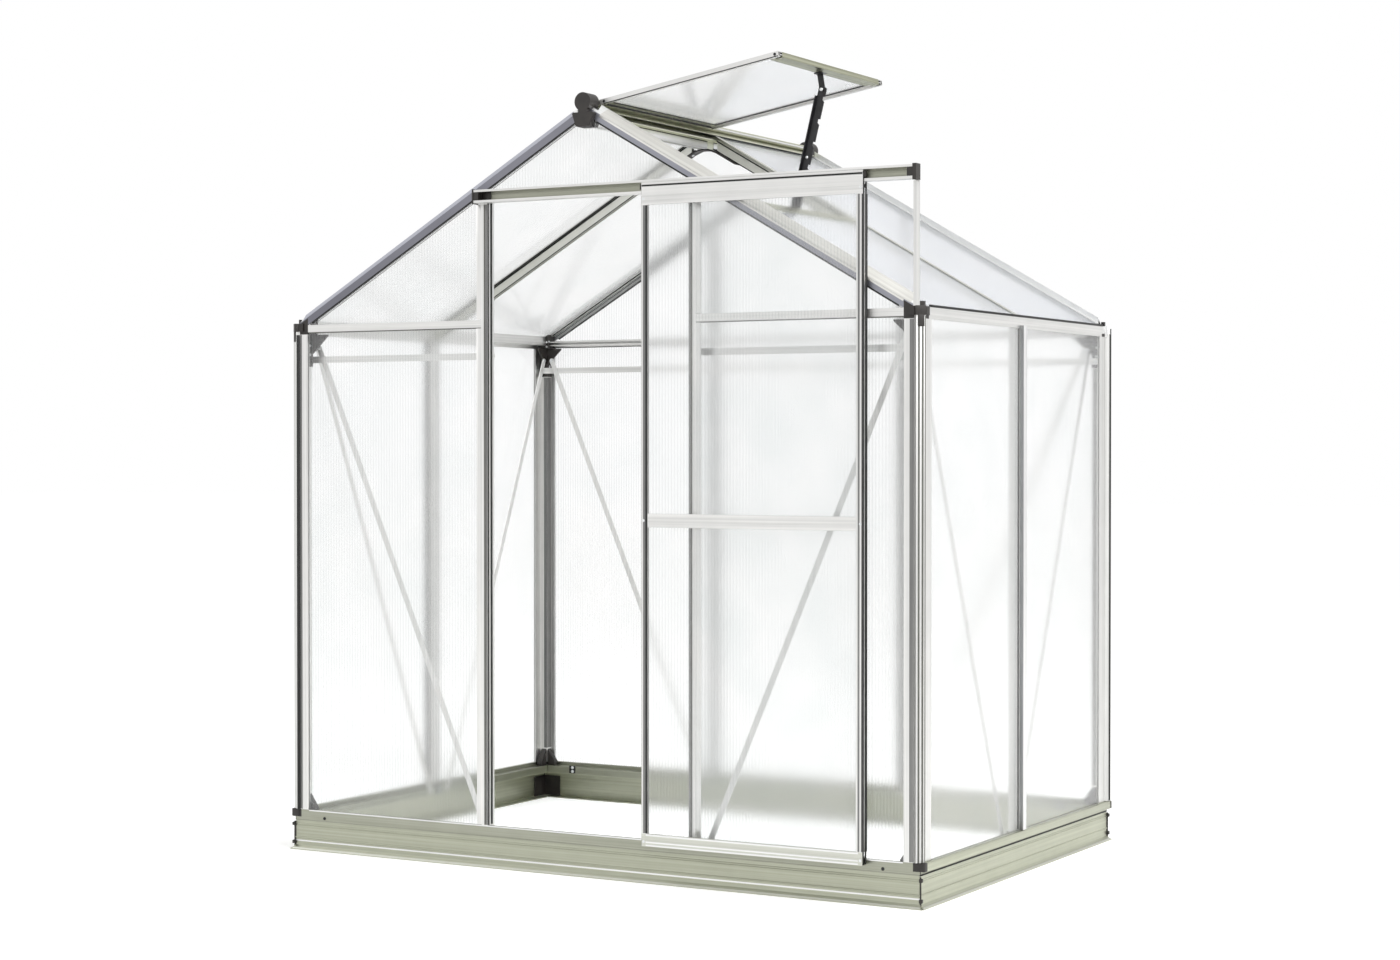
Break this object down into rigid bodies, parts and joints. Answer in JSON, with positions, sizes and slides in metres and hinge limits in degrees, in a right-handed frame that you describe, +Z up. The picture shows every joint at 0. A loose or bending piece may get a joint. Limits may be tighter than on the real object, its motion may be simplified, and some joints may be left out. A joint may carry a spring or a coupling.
{
  "type": "walk-in greenhouse",
  "caption": "Small gabled greenhouse of aluminium bars and translucent twin-wall sheet on a base frame, with a sliding door on a top rail and a hinged roof vent held by a notched stay.",
  "frame": {"origin": "on the ground in the middle of the base, at the centre of the anchor holes", "axes": "+X to the right along the front gable, +Y from the front to the back, +Z up"},
  "size_m": [1.924, 1.3045, 2.0992],
  "materials": {
    "base_aluminium": "satin",
    "mill_aluminium": "satin mill finish",
    "dark_plastic": "matt",
    "twin_wall_sheet": "translucent",
    "seal_rubber": "matt",
    "brush_pile": "pile",
    "stay_metal": "semi-gloss black",
    "zinc_steel": "zinc plated"
  },
  "bodies": {
    "frame": {"base_rail_front": "base_aluminium", "base_rail_back": "base_aluminium", "base_rail_left": "base_aluminium", "base_rail_right": "base_aluminium", "sill_front": "mill_aluminium", "sill_back": "mill_aluminium", "sill_left": "mill_aluminium", "sill_right": "mill_aluminium", "corner_post_front_left": "mill_aluminium", "corner_post_front_right": "mill_aluminium", "corner_post_back_left": "mill_aluminium", "corner_post_back_right": "mill_aluminium", "door_jamb_left": "mill_aluminium", "door_jamb_right": "mill_aluminium", "back_studs": "mill_aluminium", "side_studs": "mill_aluminium", "eaves_beam_left": "mill_aluminium", "eaves_beam_right": "mill_aluminium", "gable_ties": "mill_aluminium", "door_header": "mill_aluminium", "cross_bars": "mill_aluminium", "wind_braces": "mill_aluminium", "gable_rafters": "mill_aluminium", "mid_rafter_left": "mill_aluminium", "mid_rafter_right": "mill_aluminium", "ridge_beam": "mill_aluminium", "vent_sill": "mill_aluminium", "door_rail": "mill_aluminium", "door_rail_strut": "mill_aluminium", "base_corner_brackets": "dark_plastic", "sill_corner_blocks": "dark_plastic", "eaves_corner_brackets": "dark_plastic", "ridge_end_caps": "dark_plastic", "ridge_mid_strap": "dark_plastic", "door_rail_end_caps": "dark_plastic", "panels_front": "twin_wall_sheet", "panels_back": "twin_wall_sheet", "panels_left": "twin_wall_sheet", "panels_right": "twin_wall_sheet", "panels_roof_left": "twin_wall_sheet", "panels_roof_right": "twin_wall_sheet", "eaves_seals": "seal_rubber", "brace_bolts": "zinc_steel", "vent_stay_peg": "zinc_steel"},
    "door": {"door_stiles": "mill_aluminium", "door_top_rail": "mill_aluminium", "door_mid_rail": "mill_aluminium", "door_bottom_rail": "mill_aluminium", "door_panes": "twin_wall_sheet", "door_brushes": "brush_pile", "door_glides": "dark_plastic", "door_hangers": "dark_plastic"},
    "door_roller_left": {"door_roller_left": "dark_plastic"},
    "door_roller_right": {"door_roller_right": "dark_plastic"},
    "vent": {"vent_hinge_bar": "mill_aluminium", "vent_drip_bar": "mill_aluminium", "vent_side_bars": "mill_aluminium", "vent_pane": "twin_wall_sheet", "vent_stay_bracket": "stay_metal"},
    "vent_stay": {"vent_stay_arm": "stay_metal"}
  },
  "joints": [
    {"name": "door_slide", "type": "slide", "parent": "frame", "child": "door", "axis": [1, 0, 0], "range_m": [-0.496, 0.094]},
    {"name": "door_roller_left_spin", "type": "hinge", "parent": "door", "child": "door_roller_left", "pos_m": [0.198, -0.6437, 1.77026], "axis": [0, 1, 0], "range_deg": [-2590, 495]},
    {"name": "door_roller_right_spin", "type": "hinge", "parent": "door", "child": "door_roller_right", "pos_m": [0.794, -0.6437, 1.77026], "axis": [0, 1, 0], "range_deg": [-2590, 495]},
    {"name": "vent_hinge", "type": "hinge", "parent": "frame", "child": "vent", "pos_m": [0.015, -0.301, 2.00598], "axis": [0, 1, 0], "range_deg": [0, 39.5]},
    {"name": "vent_stay_pivot", "type": "hinge", "parent": "vent", "child": "vent_stay", "pos_m": [0.51611, -0.301, 2.04087], "axis": [0, 1, 0], "range_deg": [0, 59.3]}
  ],
  "couplings": [
    {"joint": "door_roller_left_spin", "follows": "door_slide", "rad_per_m": 90.909},
    {"joint": "door_roller_right_spin", "follows": "door_slide", "rad_per_m": 90.909},
    {"joint": "vent_stay_pivot", "follows": "vent_hinge", "ratio": 1.5}
  ]
}
